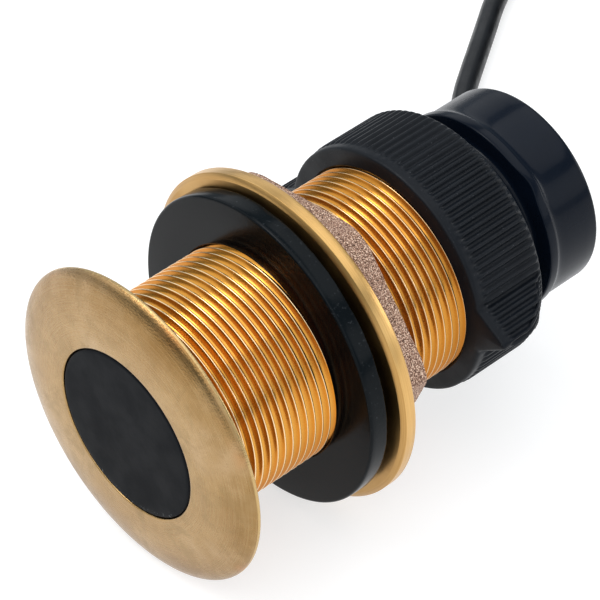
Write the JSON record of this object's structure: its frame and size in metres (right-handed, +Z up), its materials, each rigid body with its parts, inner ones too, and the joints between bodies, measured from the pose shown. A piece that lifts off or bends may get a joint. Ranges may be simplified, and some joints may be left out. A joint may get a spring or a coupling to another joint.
{
  "type": "through-hull sonar transducer",
  "caption": "Bronze through-hull sonar transducer with a flanged threaded stem, hull washer, hex hull nut, winged cap nut, retractable insert and coiled cable.",
  "frame": {"origin": "on the floor, under the middle of the part without its cable", "axes": "+Z up from the floor the part lies on; +X along the stem from the flange to the cable end, which rises by about three degrees"},
  "size_m": [0.3549, 0.1513, 0.0792],
  "materials": {
    "bronze_housing": "satin cast and turned bronze",
    "bronze_nut": "turned rim, rough sand-cast hexagon",
    "washer_plastic": "satin black",
    "cap_plastic": "matte black, fine axial ribs",
    "insert_plastic": "gloss black",
    "window_urethane": "matte near-black",
    "piezo_ceramic": "fired ceramic with silvered faces",
    "cork": "cork",
    "backing_foam": "closed-cell foam",
    "lead_red": "insulated wire",
    "lead_black": "insulated wire",
    "board_green": "circuit board",
    "ferrite": "ferrite pot core",
    "potting_resin": "cured resin",
    "seal_rubber": "black rubber",
    "boot_rubber": "black rubber",
    "cable_jacket": "satin black jacket",
    "tie_plastic": "satin black",
    "connector_plastic": "satin black",
    "connector_core": "satin grey",
    "pin_gold": "gold-plated"
  },
  "bodies": {
    "root": {"housing": "bronze_housing", "hull_washer": "washer_plastic", "hull_nut": "bronze_nut", "cap_nut": "cap_plastic", "insert_body": "insert_plastic", "acoustic_window": "window_urethane", "piezo_disc": "piezo_ceramic", "isolation_sleeve": "cork", "backing_pad": "backing_foam", "signal_lead": "lead_red", "return_lead": "lead_black", "splice_board": "board_green", "matching_transformer": "ferrite", "potting_compound": "potting_resin", "lower_o_ring": "seal_rubber", "upper_o_ring": "seal_rubber", "strain_relief": "boot_rubber", "cable_run": "cable_jacket", "cable_coil": "cable_jacket", "coil_ties": "tie_plastic", "cable_tail": "cable_jacket", "connector_body": "connector_plastic", "connector_collar": "connector_plastic", "connector_core": "connector_core", "connector_pins": "pin_gold"}
  },
  "joints": []
}
